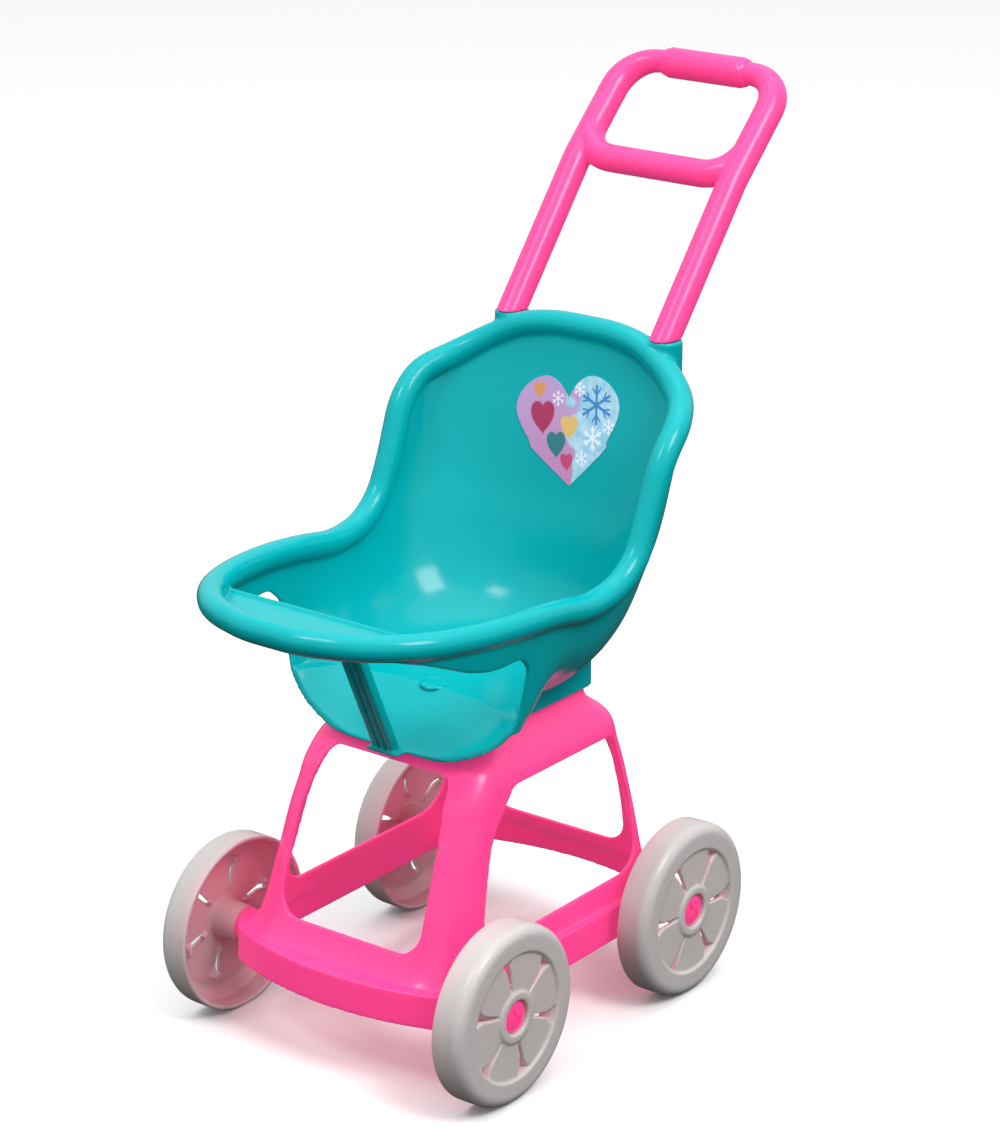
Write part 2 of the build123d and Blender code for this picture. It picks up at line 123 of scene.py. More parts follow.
def moulded(name, colour, deep, worn, roughness, specular=0.5, tint=None):
    """Injection-moulded plastic: flow variation, handled patches and rubbed edges."""
    n = Nodes(name)
    flow = n.remap(n.noise(9.0, 2.0), 0.35, 0.65, 0.0, 1.0, True)
    base = n.mix(n.math("MULTIPLY", flow, 0.5), colour, deep)
    # a further colour step; the wheels' one paints pink light from the base into the colour
    if tint is not None:
        base = tint(n, base)
    edge = n.add("ShaderNodeNewGeometry").outputs["Pointiness"]
    rub = n.remap(edge, 0.56, 0.66, 0.0, 1.0, True)
    rub = n.math("MULTIPLY", rub, n.remap(n.noise(60.0, 4.0), 0.4, 0.62, 0.0, 0.25))
    base = n.mix(rub, base, worn)
    n.link(base, n.shader.inputs["Base Color"])
    patches = n.remap(n.noise(22.0, 2.0, 0.5), 0.30, 0.70, -0.02, 0.05)
    n.link(n.math("ADD", roughness, patches), n.shader.inputs["Roughness"])
    skin = n.bump(n.noise(1400.0, 2.0), 0.04, 0.0001)
    skin = n.bump(n.noise(26.0, 1.0), 0.03, 0.0010, skin)
    n.link(skin, n.shader.inputs["Normal"])
    n.shader.inputs["IOR"].default_value = 1.49
    n.shader.inputs["Specular IOR Level"].default_value = specular
    return n


def glow(n, weight, radius, scale):
    """Light that wanders through the plastic before it comes out."""
    n.shader.inputs["Subsurface Weight"].default_value = weight
    n.shader.inputs["Subsurface Radius"].default_value = radius
    n.shader.inputs["Subsurface Scale"].default_value = scale


def wheel_pink_glow(n, base):
    """Painted pink light: the pink base's glow through the milky plastic, painted into the colour inside
    the wheel and in its gaps.
    """
    apart = n.add("ShaderNodeSeparateXYZ")
    n.link(n.place, apart.inputs["Vector"])
    across = n.math("ABSOLUTE", apart.outputs["X"])
    from_middle = n.math("ABSOLUTE", n.math("SUBTRACT", apart.outputs["Y"], MID_Y * MM))
    along = n.math("SUBTRACT", from_middle, HALF_WHEELBASE * MM)
    up = n.math("SUBTRACT", apart.outputs["Z"], AXLE_Z * MM)
    radius = n.math("SQRT", n.math("ADD", n.math("MULTIPLY", along, along), n.math("MULTIPLY", up, up)))
    inside = n.math(
        "MULTIPLY",
        n.remap(across, 0.1114, 0.1128, 1.0, 0.0, True),
        n.remap(radius, 0.0522, 0.0532, 1.0, 0.0, True),
    )
    # painted pink light on the wheel's inner side, which faces the pink base
    edge = n.math(
        "MULTIPLY",
        n.remap(across, 0.094, 0.107, 0.45, 0.0, True),
        n.remap(n.noise(30.0, 1.0), 0.35, 0.65, 0.5, 1.0),
    )
    cloud = n.remap(n.noise(45.0, 2.0), 0.35, 0.65, 0.75, 1.0)
    share = n.math("MAXIMUM", n.math("MULTIPLY", inside, cloud), edge)
    return n.mix(share, base, MILK_PINK_GLOW)


PINK = (0.88, 0.048, 0.24)
PINK_DEEP = (0.85, 0.038, 0.215)
PINK_WORN = (0.92, 0.07, 0.27)
TURQUOISE = (0.0, 0.395, 0.42)
TURQUOISE_DEEP = (0.0, 0.37, 0.395)
TURQUOISE_WORN = (0.06, 0.56, 0.58)
MILK = (0.57, 0.55, 0.54)
MILK_DEEP = (0.555, 0.515, 0.51)
MILK_WORN = (0.66, 0.65, 0.64)
# painted pink light from the base, seen through the milky plastic
MILK_PINK_GLOW = (0.74, 0.46, 0.50)

pink = moulded("pink_plastic", PINK, PINK_DEEP, PINK_WORN, 0.24, 0.4)
glow(pink, 0.45, (1.0, 0.22, 0.35), 0.006)
# painted glow: a constant pink emission that brightens the pink in shaded places, as a fluorescent pigment
# would; it does not follow the light that falls on it
pink.shader.inputs["Emission Color"].default_value = (1.0, 0.08, 0.33, 1.0)
pink.shader.inputs["Emission Strength"].default_value = 0.34
turquoise = moulded("turquoise_plastic", TURQUOISE, TURQUOISE_DEEP, TURQUOISE_WORN, 0.17, 0.22)
glow(turquoise, 0.10, (0.2, 0.8, 0.9), 0.004)
milk = moulded("milky_plastic", MILK, MILK_DEEP, MILK_WORN, 0.30, 0.45, wheel_pink_glow)
glow(milk, 0.40, (1.0, 0.7, 0.72), 0.006)
steel = moulded("zinc_screw", (0.55, 0.55, 0.57), (0.45, 0.45, 0.47), (0.7, 0.7, 0.72), 0.38)
steel.shader.inputs["Metallic"].default_value = 1.0


def paint(obj, nodes):
    obj.data.materials.clear()
    obj.data.materials.append(nodes.material)


paint(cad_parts["base_frame"], pink)
paint(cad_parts["seat"], turquoise)
paint(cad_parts["handle"], pink)
paint(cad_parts["seat_screws"], steel)
for end in ("front", "rear"):
    for side in ("left", "right"):
        paint(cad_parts[f"wheel_{end}_{side}"], milk)
        paint(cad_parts[f"axle_pin_{end}_{side}"], pink)


# ---------------------------------------------------------------- sticker
STICKER_MIDDLE = (0.0, 0.337)
STICKER_TURN = 9.0       # degrees
STICKER_HALF = 0.038
HEART_LIFT = 0.62        # how far the heart's lobes rise beside its notch
FLAKE_ARMS = 6
FLAKE_BARB = 0.5         # how far along its arm a snowflake's barb starts


def heart_patch(n, across, up, middle, size):
    """Mask of a small heart on the sticker."""
    x = n.math("ABSOLUTE", n.math("DIVIDE", n.math("SUBTRACT", across, middle[0]), size))
    y = n.math("DIVIDE", n.math("SUBTRACT", up, middle[1]), size)
    y = n.math("SUBTRACT", y, n.math("MULTIPLY", n.math("SQRT", x), HEART_LIFT))
    far = n.math("SQRT", n.math("ADD", n.math("MULTIPLY", x, x), n.math("MULTIPLY", y, y)))
    return n.remap(far, 0.72, 0.80, 1.0, 0.0)


def flake_patch(n, across, up, middle, size):
    """Mask of a snowflake on the sticker."""
    pitch = 2 * math.pi / FLAKE_ARMS
    x = n.math("DIVIDE", n.math("SUBTRACT", across, middle[0]), size)
    y = n.math("DIVIDE", n.math("SUBTRACT", up, middle[1]), size)
    far = n.math("SQRT", n.math("ADD", n.math("MULTIPLY", x, x), n.math("MULTIPLY", y, y)))
    turn = n.math("ADD", n.math("ARCTAN2", y, x), 4 * math.pi)
    fold = n.math("SUBTRACT", n.math("MODULO", turn, pitch), pitch / 2)
    fold = n.math("ABSOLUTE", fold)
    along = n.math("MULTIPLY", far, n.math("COSINE", fold))
    aside = n.math("MULTIPLY", far, n.math("SINE", fold))
    arm = n.math("MULTIPLY", n.remap(aside, 0.05, 0.09, 1, 0), n.remap(along, 0.95, 1.0, 1, 0))
    from_barb = n.math("SUBTRACT", along, FLAKE_BARB)
    slant = n.math("SUBTRACT", aside, n.math("MULTIPLY", from_barb, 0.8))
    barb = n.remap(n.math("ABSOLUTE", slant), 0.04, 0.08, 1, 0)
    barb = n.math("MULTIPLY", barb, n.remap(aside, 0.24, 0.28, 1, 0))
    return n.math("MAXIMUM", arm, barb)


def sticker_material():
    """Printed film: lilac and pale blue fields with small hearts and snowflakes."""
    n = Nodes("printed_film")
    apart = n.add("ShaderNodeSeparateXYZ")
    n.link(n.place, apart.inputs["Vector"])
    x = n.math("DIVIDE", apart.outputs["X"], STICKER_HALF)
    z = n.math("DIVIDE", n.math("SUBTRACT", apart.outputs["Z"], STICKER_MIDDLE[1]), STICKER_HALF)
    cos_turn = math.cos(math.radians(STICKER_TURN))
    sin_turn = math.sin(math.radians(STICKER_TURN))
    across = n.math("ADD", n.math("MULTIPLY", x, cos_turn), n.math("MULTIPLY", z, sin_turn))
    up = n.math("SUBTRACT", n.math("MULTIPLY", z, cos_turn), n.math("MULTIPLY", x, sin_turn))
    wave = n.remap(n.noise(70.0, 1.0), 0.2, 0.8, -0.25, 0.25)
    split = n.remap(n.math("ADD", across, wave), 0.02, 0.12, 0.0, 1.0, True)
    lilac = n.mix(n.remap(up, -0.8, 0.8, 0.0, 1.0), (0.62, 0.25, 0.50), (0.50, 0.33, 0.62))
    blue = n.mix(n.remap(n.noise(160.0, 2.0), 0.35, 0.65, 0.0, 1.0), (0.30, 0.60, 0.80), (0.52, 0.74, 0.88))
    colour = n.mix(split, lilac, blue)
    for middle, size, tint in (
        ((-0.50, 0.16), 0.30, (0.42, 0.02, 0.10)),
        ((-0.24, -0.26), 0.24, (0.02, 0.20, 0.22)),
        ((0.02, 0.02), 0.22, (0.80, 0.50, 0.16)),
        ((-0.04, -0.52), 0.16, (0.62, 0.06, 0.18)),
        ((-0.56, 0.62), 0.15, (0.72, 0.30, 0.10)),
    ):
        colour = n.mix(heart_patch(n, across, up, middle, size), colour, tint)
    for middle, size, tint in (
        ((0.55, 0.42), 0.32, (0.03, 0.22, 0.55)),
        ((0.48, -0.10), 0.20, (0.90, 0.95, 1.00)),
        ((0.80, 0.08), 0.13, (0.90, 0.95, 1.00)),
        ((0.26, -0.42), 0.14, (0.90, 0.95, 1.00)),
        ((0.22, 0.66), 0.12, (0.90, 0.95, 1.00)),
        ((-0.20, 0.52), 0.13, (0.92, 0.80, 0.95)),
    ):
        colour = n.mix(flake_patch(n, across, up, middle, size), colour, tint)
    n.link(colour, n.shader.inputs["Base Color"])
    n.link(n.remap(n.noise(50.0, 3.0), 0.35, 0.65, 0.22, 0.34), n.shader.inputs["Roughness"])
    n.link(n.bump(n.noise(500.0, 3.0), 0.08, 0.0002), n.shader.inputs["Normal"])
    n.shader.inputs["Coat Weight"].default_value = 0.35
    n.shader.inputs["Coat Roughness"].default_value = 0.12
    return n


film = sticker_material()
paint(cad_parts["sticker"], film)


# ---------------------------------------------------------------- mesh helpers
def shade_smooth(obj, angle=35.0):
    mesh = obj.data
    mesh.polygons.foreach_set("use_smooth", [True] * len(mesh.polygons))
    mesh.set_sharp_from_angle(angle=math.radians(angle))


def soft_step(low, high, value):
    """0 below low, 1 above high, with a smooth run between."""
    t = np.clip((value - low) / (high - low), 0.0, 1.0)
    return t * t * (3.0 - 2.0 * t)


def rounded(points, radii, arc_steps=8):
    """Path through points, with each inner corner turned in an arc of its radius."""
    points = [np.array(p, float) for p in points]
    path = [points[0]]
    for before, corner, after, radius in zip(points, points[1:], points[2:], radii):
        if radius <= 0:
            path.append(corner)
            continue
        back = (before - corner) / np.linalg.norm(before - corner)
        on = (after - corner) / np.linalg.norm(after - corner)
        half = math.acos(float(np.clip(back @ on, -1, 1))) / 2
        middle = back + on
        middle = middle / np.linalg.norm(middle)
        centre = corner + middle * radius / math.sin(half)
        start = corner + back * radius / math.tan(half) - centre
        end = corner + on * radius / math.tan(half) - centre
        sweep = math.pi - 2 * half
        for step in range(arc_steps + 1):
            t = step / arc_steps
            share_start = math.sin((1 - t) * sweep) / math.sin(sweep)
            share_end = math.sin(t * sweep) / math.sin(sweep)
            path.append(centre + share_start * start + share_end * end)
    path.append(points[-1])
    return np.array(path)


def even(path, spacing, closed=False):
    """The same path with points a fixed spacing apart, its corners kept nearly."""
    path = np.asarray(path, float)
    if closed:
        path = np.vstack([path, path[:1]])
    lengths = np.r_[0, np.cumsum(np.linalg.norm(np.diff(path, axis=0), axis=1))]
    count = max(2, int(round(lengths[-1] / spacing)))
    at = np.linspace(0, lengths[-1], count + 1)
    if closed:
        at = at[:-1]
    return np.stack([np.interp(at, lengths, path[:, k]) for k in range(path.shape[1])], -1)


def new_object(name, vertices, faces, nodes):
    """Mesh object from millimetre points, with its material."""
    mesh = bpy.data.meshes.new(name)
    mesh.from_pydata((np.asarray(vertices, float) * MM).tolist(), [], faces)
    work = bmesh.new()
    work.from_mesh(mesh)
    bmesh.ops.remove_doubles(work, verts=work.verts, dist=1e-6)
    bmesh.ops.recalc_face_normals(work, faces=work.faces)
    work.to_mesh(mesh)
    work.free()
    obj = bpy.data.objects.new(name, mesh)
    scene.collection.objects.link(obj)
    paint(obj, nodes)
    return obj


def round_axle(side, y, x, r, angle):
    """Points r from an axle's middle line, x out from the stroller's middle."""
    across, up = r * np.cos(angle), r * np.sin(angle)
    return np.stack([side * x, MID_Y + y + across, AXLE_Z + up], -1).reshape(-1, 3)


def ring_faces(rows, columns, close_rows):
    """Quads of a grid of rows by columns that closes along its columns."""
    faces = []
    for row in range(rows if close_rows else rows - 1):
        below = (row + 1) % rows
        for column in range(columns):
            beside = (column + 1) % columns
            faces.append(
                (
                    row * columns + column,
                    row * columns + beside,
                    below * columns + beside,
                    below * columns + column,
                )
            )
    return faces


def end_faces(rows, columns):
    """The two flat ends of a grid of rows by columns that closes along its columns."""
    last = (rows - 1) * columns
    return [tuple(range(columns)), tuple(range(last, last + columns))]


def tube(path, radii, sides):
    """Points and faces of a round tube along a path, closed at both ends."""
    path = np.asarray(path, float)
    tangents = np.gradient(path, axis=0)
    tangents /= np.linalg.norm(tangents, axis=1)[:, None]
    across = np.cross(tangents[0], (0.0, 0.0, 1.0))
    if np.linalg.norm(across) < 0.1:
        across = np.cross(tangents[0], (0.0, 1.0, 0.0))
    across /= np.linalg.norm(across)
    angles = np.linspace(0, 2 * math.pi, sides, endpoint=False)
    points = []
    for centre, tangent, radius in zip(path, tangents, radii):
        across = across - tangent * (across @ tangent)
        across /= np.linalg.norm(across)
        up = np.cross(tangent, across)
        ring = np.outer(np.cos(angles), across) + np.outer(np.sin(angles), up)
        points.append(centre + radius * ring)
    points = np.vstack(points)
    return points, ring_faces(len(path), sides, False) + end_faces(len(path), sides)


def joined(pieces):
    """Several (points, faces) as one."""
    points, faces, start = [], [], 0
    for some_points, some_faces in pieces:
        points.append(some_points)
        faces += [tuple(start + v for v in face) for face in some_faces]
        start += len(some_points)
    return np.vstack(points), faces


def applied(obj):
    """Bakes the object's modifiers into its mesh."""
    graph = bpy.context.evaluated_depsgraph_get()
    made = bpy.data.meshes.new_from_object(obj.evaluated_get(graph))
    obj.modifiers.clear()
    old = obj.data
    obj.data = made
    bpy.data.meshes.remove(old)
    return made


def vertex_points(mesh):
    """The mesh's points in millimetres."""
    points = np.empty(len(mesh.vertices) * 3, np.float32)
    mesh.vertices.foreach_get("co", points)
    return points.reshape(-1, 3).astype(float) / MM


def fuse(obj, voxel, smoothing, softness=None):
    """Remesh overlapping shells into one skin and soften it; softness(points) may vary that."""
    remesh = obj.modifiers.new("fuse", "REMESH")
    remesh.mode = "VOXEL"
    remesh.voxel_size = voxel * MM
    remesh.adaptivity = 0.0
    mesh = applied(obj)
    if softness is not None:
        weights = softness(vertex_points(mesh))
        group = obj.vertex_groups.new(name="softness")
        for level in range(11):
            members = np.nonzero(np.round(weights * 10).astype(int) == level)[0]
            if len(members):
                group.add(members.tolist(), level / 10, "REPLACE")
    smooth = obj.modifiers.new("soften", "SMOOTH")
    smooth.factor = 0.5
    smooth.iterations = smoothing
    if softness is not None:
        smooth.vertex_group = "softness"
    mesh = applied(obj)
    obj.vertex_groups.clear()
    mesh.polygons.foreach_set("use_smooth", [True] * len(mesh.polygons))
    return obj


# ---------------------------------------------------------------- wheels
PETALS = 6
BORE = 5.3
HUB_HOLE = 10.6          # hole in the face that the pin's head sits in
HUB_RING = 16.2
HUB_TUBE = 12.6          # tube behind the disc
HUB_END_X = 93.9
RIM_WALL = 2.6           # at the tread's inner edge
FACE_STEP = 0.2          # the hub's ring lies this far below the wheel's face
PETAL_SINK = 1.6         # petals lie this far below the wheel's face
GROOVE_DEPTH = 4.4
RECESS = 39.4
DISC = 1.9               # wall of the wheel's disc
HEAD_SEAT_X = WHEEL_FACE_X - 3.8
SLOT_START = 21.6        # slots right through the disc, from this radius
SLOT_END = 37.2
WHEEL_COLUMNS = 336
SLOT_REACH = 3           # columns of the mesh to each side of a slot's middle


def groove(r, theta):
    """Depth of the V-shaped gaps between petals; theta is measured from a petal's middle."""
    pitch = 2 * math.pi / PETALS
    from_gap = np.abs((theta + pitch) % pitch - pitch / 2)
    aside = r * np.sin(from_gap)
    width = 1.4 + 1.2 * np.clip((r - 16) / 18, 0, 2) ** 1.2 + 3.0 * np.clip((r - 30) / 8.5, 0, 1) ** 2
    depth = GROOVE_DEPTH * soft_step(0.0, 1.0, (width - aside) / 2.4)
    return depth * soft_step(16.6, 18.4, r) * (1 - soft_step(38.2, 39.2, r))


def wheel_profile():
    """Closed half section of the wheel, (radius, x)."""
    petal_x = WHEEL_FACE_X - PETAL_SINK
    disc_back_x = petal_x - DISC - 0.2
    section = rounded(
        [
            (BORE, HEAD_SEAT_X),
            (HUB_HOLE, HEAD_SEAT_X),
            (HUB_HOLE, WHEEL_FACE_X - FACE_STEP),
            (HUB_RING - 1.0, WHEEL_FACE_X - FACE_STEP),
            (HUB_RING + 0.7, petal_x),
            (RECESS - 0.6, petal_x),
            (RECESS + 0.5, WHEEL_FACE_X),
            (WHEEL_RADIUS, WHEEL_FACE_X),
            (WHEEL_RADIUS, WHEEL_INNER_X),
            (WHEEL_RADIUS - RIM_WALL, WHEEL_INNER_X),
            (WHEEL_RADIUS - RIM_WALL - 0.4, WHEEL_FACE_X - 9.0),
            (RECESS + 6.0, WHEEL_FACE_X - RIM_WALL),
            (RECESS + 0.8, disc_back_x),
            (HUB_TUBE, disc_back_x),
            (HUB_TUBE - 1.4, HUB_END_X),
            (BORE, HUB_END_X),
        ],
        [0.0, 1.0, 1.6, 1.2, 0.9, 0.9, 6.5, 0.9, 0.9, 2.5, 3.0, 1.5, 1.5, 0.4],
        6,
    )
    return even(section, 0.8, closed=True)


def cut_slots(faces, section):
    """The grid's faces with six slots through the disc, each walled round its edge."""
    r, x = section.T
    disc_middle = WHEEL_FACE_X - PETAL_SINK - DISC / 2
    inside = (r > SLOT_START) & (r < SLOT_END) & (np.abs(x - disc_middle) < 1.3)
    front = np.nonzero(inside & (x > disc_middle))[0]
    back = np.nonzero(inside & (x < disc_middle))[0][::-1]
    count = min(len(front), len(back))
    front, back = front[:count], back[:count]
    dropped = set()
    walls = []
    for petal in range(PETALS):
        middle = int((petal + 0.5) * WHEEL_COLUMNS / PETALS)
        columns = range(middle - SLOT_REACH, middle + SLOT_REACH + 1)
        for low_row in (*front[:-1], *(back[1:])):
            dropped.update(int(low_row) * WHEEL_COLUMNS + column for column in columns[:-1])
        edge = [(step, columns[0]) for step in range(count)]
        edge += [(count - 1, column) for column in columns[1:]]
        edge += [(step, columns[-1]) for step in range(count - 2, -1, -1)]
        edge += [(0, column) for column in columns[-2:0:-1]]
        for (step, column), (next_step, next_column) in zip(edge, edge[1:] + edge[:1]):
            walls.append(
                (
                    int(front[step]) * WHEEL_COLUMNS + column,
                    int(front[next_step]) * WHEEL_COLUMNS + next_column,
                    int(back[next_step]) * WHEEL_COLUMNS + next_column,
                    int(back[step]) * WHEEL_COLUMNS + column,
                )
            )
    return [face for index, face in enumerate(faces) if index not in dropped] + walls


def make_wheel(name, side, y, turn):
    section = wheel_profile()
    count = WHEEL_COLUMNS
    theta = np.linspace(0, 2 * math.pi, count, endpoint=False)
    r, angle = np.meshgrid(section[:, 0], theta, indexing="ij")
    x = np.repeat(section[:, 1][:, None], count, axis=1)
    disc = (r > HUB_RING) & (r < RECESS) & (x > WHEEL_FACE_X - PETAL_SINK - DISC - 1.0)
    x = x - np.where(disc, groove(r, angle), 0.0)
    angle = angle + math.radians(turn)
    points = round_axle(side, y, x, r, angle)
    faces = cut_slots(ring_faces(len(section), count, True), section)
    wheel = new_object(name, points, faces, milk)
    shade_smooth(wheel, 50)
    return wheel


corners = [
    ("front_left", 1, -HALF_WHEELBASE, 71.0),
    ("rear_left", 1, HALF_WHEELBASE, 88.0),
    ("front_right", -1, -HALF_WHEELBASE, 45.0),
    ("rear_right", -1, HALF_WHEELBASE, 66.0),
]
for corner, side, y, turn in corners:
    wheel = make_wheel(f"wheel_{corner}_moulding", side, y, turn)
    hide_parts(f"wheel_{corner}")
    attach(wheel, f"wheel_{corner}_body")

# ---------------------------------------------------------------- axle pins
PIN_RADIUS = 5.0
PIN_HEAD = 9.0
PIN_DOME = 1.5           # how much higher the head's middle is than its edge
PIN_EDGE_X = WHEEL_FACE_X - 2.2
PIN_END_X = 56.8
PIN_COLUMNS = 144
SLIT_WIDTH = 1.3
SLIT_DEPTH = 2.2
SLIT_BEND = 2.0          # how far the slit swings to each side


def pin_profile():
    """Half section of the pin, (radius, x), from the middle of its head to its far end."""
    dome = [(PIN_HEAD * t, PIN_EDGE_X + PIN_DOME * (1 - t * t)) for t in np.linspace(0.02, 0.93, 24)]
    rest = rounded(
        [
            dome[-1],
            (PIN_HEAD, PIN_EDGE_X),
            (PIN_HEAD, HEAD_SEAT_X + 0.4),
            (PIN_RADIUS, HEAD_SEAT_X + 0.4),
            (PIN_RADIUS, PIN_END_X + 4.0),
            (PIN_RADIUS + 1.0, PIN_END_X + 4.0),
            (PIN_RADIUS - 0.5, PIN_END_X),
            (0.4, PIN_END_X),
        ],
        [0.4, 0.2, 0.2, 0.2, 0.2, 0.6],
        4,
    )
    return np.vstack([dome[:-1], rest])


def make_pin(name, side, y, turn):
    section = pin_profile()
    theta = np.linspace(0, 2 * math.pi, PIN_COLUMNS, endpoint=False)
    r, angle = np.meshgrid(section[:, 0], theta, indexing="ij")
    x = np.repeat(section[:, 1][:, None], PIN_COLUMNS, axis=1)
    along, aside = r * np.cos(angle), r * np.sin(angle)
    curve = SLIT_BEND * np.sin(math.pi * along / PIN_HEAD)
    slit = 1 - soft_step(SLIT_WIDTH / 2, SLIT_WIDTH / 2 + 0.7, np.abs(aside - curve))
    head = (x > PIN_EDGE_X - 0.6) & (r < PIN_HEAD)
    x = x - np.where(head, SLIT_DEPTH * slit, 0.0)
    angle = angle + math.radians(turn)
    points = round_axle(side, y, x, r, angle)
    faces = ring_faces(len(section), PIN_COLUMNS, False) + end_faces(len(section), PIN_COLUMNS)
    pin = new_object(name, points, faces, pink)
    shade_smooth(pin, 50)
    return pin


for corner, side, y, turn in corners:
    pin = make_pin(f"axle_pin_{corner}_moulding", side, y, turn + 22.0)
    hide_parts(f"axle_pin_{corner}")
    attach(pin, "chassis")

# ---------------------------------------------------------------- handle
LEG_X = 58.0
LEG_FOOT = (131.0, 401.3)      # y from the wheelbase's middle, height
LEG_BEND = (199.0, 485.0)
GRIP_MIDDLE = (255.0, 538.6)
LOOP_CORNER = 24.0
TUBE = 9.0
THIN_TUBE = 7.3                # beside the grip
BAR_TUBE = 8.7
GRIP_RADIUS = 9.6
GRIP_HALF = 31.0
GRIP_COLUMNS = 72
TUBE_SIDES = 48


def handle_point(x, along):
    """Point on the loop's plane, a distance up from where the legs bend."""
    run = np.subtract(GRIP_MIDDLE, LEG_BEND)
    run = run / np.linalg.norm(run) * along
    return (x, MID_Y + LEG_BEND[0] + run[0], LEG_BEND[1] + run[1])


loop_height = math.dist(LEG_BEND, GRIP_MIDDLE)
leg_run = np.subtract(LEG_BEND, LEG_FOOT)
leg_low = (LEG_X - 0.5, MID_Y + LEG_FOOT[0] - 0.16 * leg_run[0], LEG_FOOT[1] - 0.16 * leg_run[1])
hoop_path = even(
    rounded(
        [
            leg_low,
            handle_point(LEG_X, 0),
            handle_point(LEG_X, loop_height),
            handle_point(-LEG_X, loop_height),
            handle_point(-LEG_X, 0),
            (-leg_low[0], leg_low[1], leg_low[2]),
        ],
        [60, LOOP_CORNER, LOOP_CORNER, 60],
        12,
    ),
    2.0,
)
steps = np.r_[0, np.cumsum(np.linalg.norm(np.diff(hoop_path, axis=0), axis=1))]
from_grip = np.abs(steps - steps[-1] / 2)
hoop_radii = THIN_TUBE + (TUBE - THIN_TUBE) * soft_step(33.0, 68.0, from_grip)
bar_path = even(
    rounded(
        [
            handle_point(LEG_X, LOOP_CORNER + 16),
            handle_point(LEG_X, 2.0),
            handle_point(-LEG_X, 2.0),
            handle_point(-LEG_X, LOOP_CORNER + 16),
        ],
        [LOOP_CORNER, LOOP_CORNER],
        12,
    ),
    2.0,
)
handle_points, handle_faces = joined(
    [
        tube(hoop_path, hoop_radii, TUBE_SIDES),
        tube(bar_path, np.full(len(bar_path), BAR_TUBE), TUBE_SIDES),
    ]
)
handle = new_object("handle_moulding", handle_points, handle_faces, pink)
cut = bmesh.new()
cut.from_mesh(handle.data)
sliced = bmesh.ops.bisect_plane(
    cut,
    geom=cut.verts[:] + cut.edges[:] + cut.faces[:],
    plane_co=(0, 0, LEG_FOOT[1] * MM),
    plane_no=(0, 0, -1),
    clear_outer=True,
)
cut_edges = [e for e in sliced["geom_cut"] if isinstance(e, bmesh.types.BMEdge)]
bmesh.ops.holes_fill(cut, edges=cut_edges)
cut.to_mesh(handle.data)
cut.free()
fuse(handle, VOXEL, 6)
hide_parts("handle")
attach(handle, "chassis")

grip_section = rounded(
    [
        (0, -GRIP_HALF),
        (GRIP_RADIUS - 2.0, -GRIP_HALF),
        (GRIP_RADIUS - 1.0, -GRIP_HALF + 1.2),
        (GRIP_RADIUS - 0.7, -GRIP_HALF + 3.4),
        (GRIP_RADIUS, -GRIP_HALF + 4.4),
        (GRIP_RADIUS, GRIP_HALF - 4.4),
        (GRIP_RADIUS - 0.7, GRIP_HALF - 3.4),
        (GRIP_RADIUS - 1.0, GRIP_HALF - 1.2),
        (GRIP_RADIUS - 2.0, GRIP_HALF),
        (0, GRIP_HALF),
    ],
    [0.4, 0.5, 0.5, 0.6, 0.6, 0.5, 0.5, 0.4],
    4,
)
grip_section = grip_section[grip_section[:, 0] > 0.01]
angles = np.linspace(0, 2 * math.pi, GRIP_COLUMNS, endpoint=False)
grip_points = np.stack(
    [
        np.repeat(grip_section[:, 1][:, None], GRIP_COLUMNS, 1),
        MID_Y + GRIP_MIDDLE[0] + np.outer(grip_section[:, 0], np.cos(angles)),
        GRIP_MIDDLE[1] + np.outer(grip_section[:, 0], np.sin(angles)),
    ],
    -1,
).reshape(-1, 3)
grip_faces = ring_faces(len(grip_section), GRIP_COLUMNS, False) + end_faces(
    len(grip_section), GRIP_COLUMNS
)
grip = new_object("handle_grip", grip_points, grip_faces, pink)
shade_smooth(grip, 40)
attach(grip, "chassis")

# ---------------------------------------------------------------- base and seat mouldings
def softened(node, name, voxel, smoothing, softness, nodes):
    """The CAD node's shape remeshed as one skin, with the small radii a moulding has."""
    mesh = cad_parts[node].data.copy()
    mesh.name = name
    obj = bpy.data.objects.new(name, mesh)
    scene.collection.objects.link(obj)
    fuse(obj, voxel, smoothing, softness)
    paint(obj, nodes)
    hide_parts(node)
    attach(obj, "chassis")
    return obj


def between(value, low, high, blend):
    """1 inside a range, fading to 0 over blend outside it."""
    return soft_step(low - blend, low, value) * (1 - soft_step(high, high + blend, value))


POST_FOOT = (-69.5, 184.5)     # y from the wheelbase's middle, height
POST_SLOPE = 0.45              # how far the post runs forwards for each mm up
POST_HALF = 9.5


def seat_softness(points):
    """The grooved post and the skirt keep crisper edges than the rest."""
    x, y, z = points.T
    from_post = y - MID_Y - (POST_FOOT[0] - (z - POST_FOOT[1]) * POST_SLOPE)
    post = between(x, -POST_HALF, POST_HALF, 1.0) * between(z, 180, 278, 2)
    post = post * between(from_post, -3.0, 9.0, 2.0)
    skirt = between(z, 190.0, 208.0, 3.0)
    return 1.0 - 0.9 * np.maximum(post, 0.5 * skirt)


softened("seat", "seat_moulding", VOXEL, 14, seat_softness, turquoise)
softened("base_frame", "base_moulding", VOXEL, 5, None, pink)

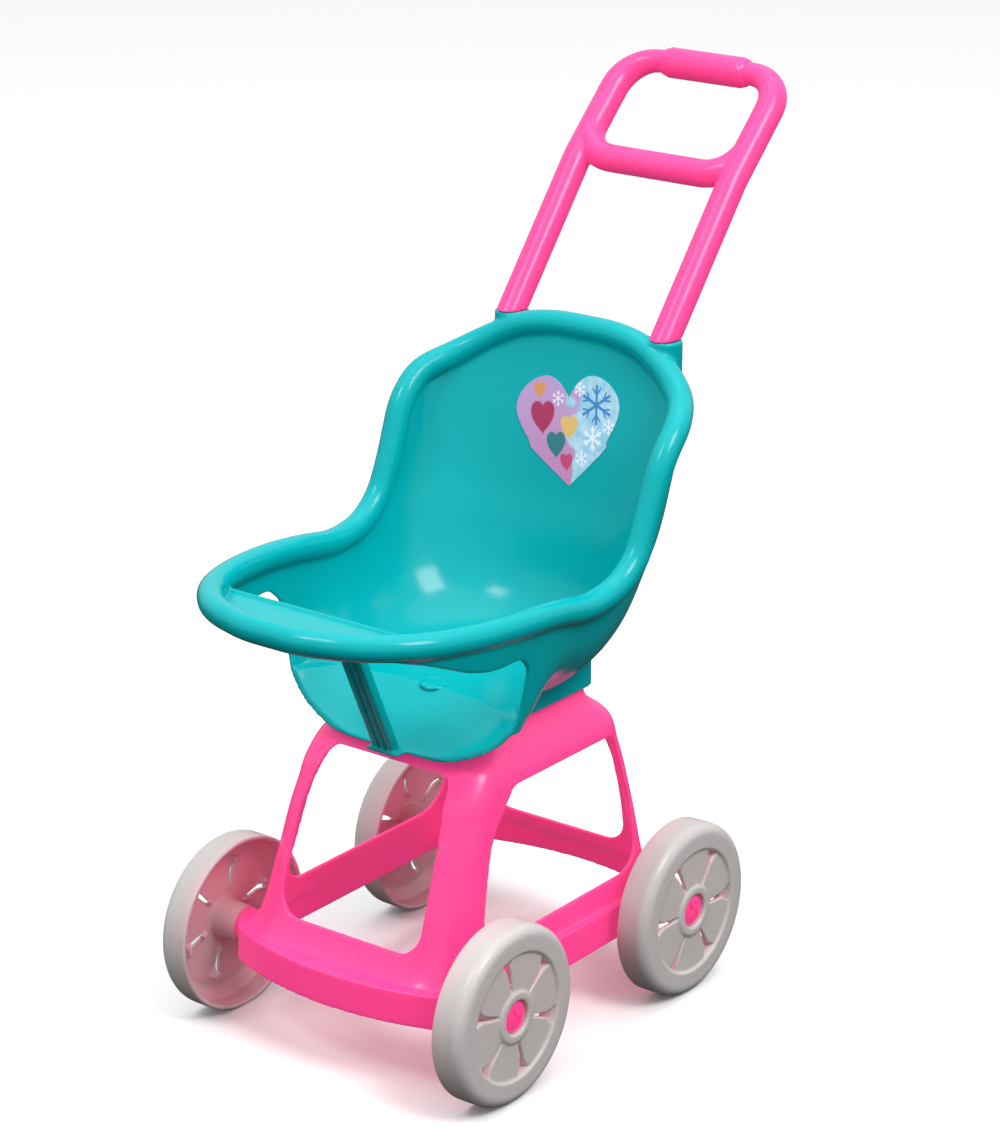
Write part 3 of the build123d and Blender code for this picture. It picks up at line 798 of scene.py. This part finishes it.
# moulding gate mark on the seat floor
GATE = (0.0, -21.0, 213.55)
GATE_RADIUS = 8.5
GATE_COLUMNS = 96
ring_angles = np.linspace(0, 2 * math.pi, GATE_COLUMNS, endpoint=False)
gate_section = rounded([(0.9, -0.3), (0.45, 0.34), (-0.45, 0.34), (-0.9, -0.3)], [0.3, 0.3], 4)
gate_points = np.stack(
    [
        GATE[0] + np.outer(GATE_RADIUS + gate_section[:, 0], np.cos(ring_angles)),
        MID_Y + GATE[1] + np.outer(GATE_RADIUS + gate_section[:, 0], np.sin(ring_angles)),
        GATE[2] + np.repeat(gate_section[:, 1][:, None], GATE_COLUMNS, 1),
    ],
    -1,
).reshape(-1, 3)
gate = new_object(
    "seat_gate_mark",
    gate_points,
    ring_faces(len(gate_section), GATE_COLUMNS, True),
    turquoise,
)
shade_smooth(gate, 60)
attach(gate, "chassis")

# ---------------------------------------------------------------- floor, light, camera
def plain(name, colour, roughness):
    n = Nodes(name)
    shade = n.remap(n.noise(3.0, 2.0), 0.3, 0.7, 0.985, 1.0)
    tone = n.mix(shade, tuple(0.985 * c for c in colour), colour)
    n.link(tone, n.shader.inputs["Base Color"])
    n.shader.inputs["Roughness"].default_value = roughness
    return n


floor_mesh = bpy.data.meshes.new("floor")
half = 6.0
floor_mesh.from_pydata(
    [(-half, -half, 0), (half, -half, 0), (half, half, 0), (-half, half, 0)], [], [(0, 1, 2, 3)]
)
floor = bpy.data.objects.new("floor", floor_mesh)
scene.collection.objects.link(floor)
paint(floor, plain("pale_floor", (0.93, 0.93, 0.93), 0.7))
floor.visible_diffuse = False
floor.visible_glossy = False

world = bpy.data.worlds.new("studio")
world.use_nodes = True
tree = world.node_tree
sky_place = tree.nodes.new("ShaderNodeTexCoord")
sky_split = tree.nodes.new("ShaderNodeSeparateXYZ")
sky_level = tree.nodes.new("ShaderNodeMapRange")
sky_level.inputs["From Min"].default_value = -1.0
sky_level.inputs["From Max"].default_value = 1.0
sky_shade = tree.nodes.new("ShaderNodeValToRGB")
stops = sky_shade.color_ramp.elements
SKY = ((0.42, 0.05), (0.53, 0.62), (0.95, 1.0))   # height from straight down to up, brightness
for place, brightness in SKY:
    stop = stops.new(place) if place > SKY[0][0] else stops[0]
    stop.position = place
    stop.color = (brightness, brightness, brightness, 1)
stops.remove(stops[-1])
tree.links.new(sky_place.outputs["Generated"], sky_split.inputs["Vector"])
tree.links.new(sky_split.outputs["Z"], sky_level.inputs["Value"])
tree.links.new(sky_level.outputs["Result"], sky_shade.inputs["Fac"])
tree.links.new(sky_shade.outputs["Color"], tree.nodes["Background"].inputs["Color"])
tree.nodes["Background"].inputs["Strength"].default_value = 1.0
scene.world = world


def soft_light(name, place, target, size, power):
    data = bpy.data.lights.new(name, "AREA")
    data.shape = "RECTANGLE"
    data.size, data.size_y = size
    data.energy = power
    light = bpy.data.objects.new(name, data)
    light.location = place
    direction = Vector(target) - Vector(place)
    light.rotation_euler = direction.to_track_quat("-Z", "Y").to_euler()
    scene.collection.objects.link(light)
    return light


soft_light("key", (-0.5, -1.6, 2.3), (0, 0, 0.25), (0.6, 0.6), 15)
soft_light("side", (1.7, -0.4, 2.3), (0, 0, 0.25), (0.9, 0.9), 38)
soft_light("top", (0.1, 0.0, 3.0), (0, 0, 0.2), (3.0, 3.0), 30)

camera_data = bpy.data.cameras.new("camera")
camera_data.lens = 109.4
camera_data.sensor_width = 36.0
camera_data.clip_start = 0.05
camera_data.clip_end = 50.0
camera = bpy.data.objects.new("camera", camera_data)
camera.location = (1.1971, -1.5702, 0.9687)
camera.rotation_euler = (math.radians(90 - 19.61), 0.0, math.radians(37.36))
scene.collection.objects.link(camera)
scene.camera = camera
scene.view_settings.view_transform = "Standard"

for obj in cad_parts.values():
    shade_smooth(obj)
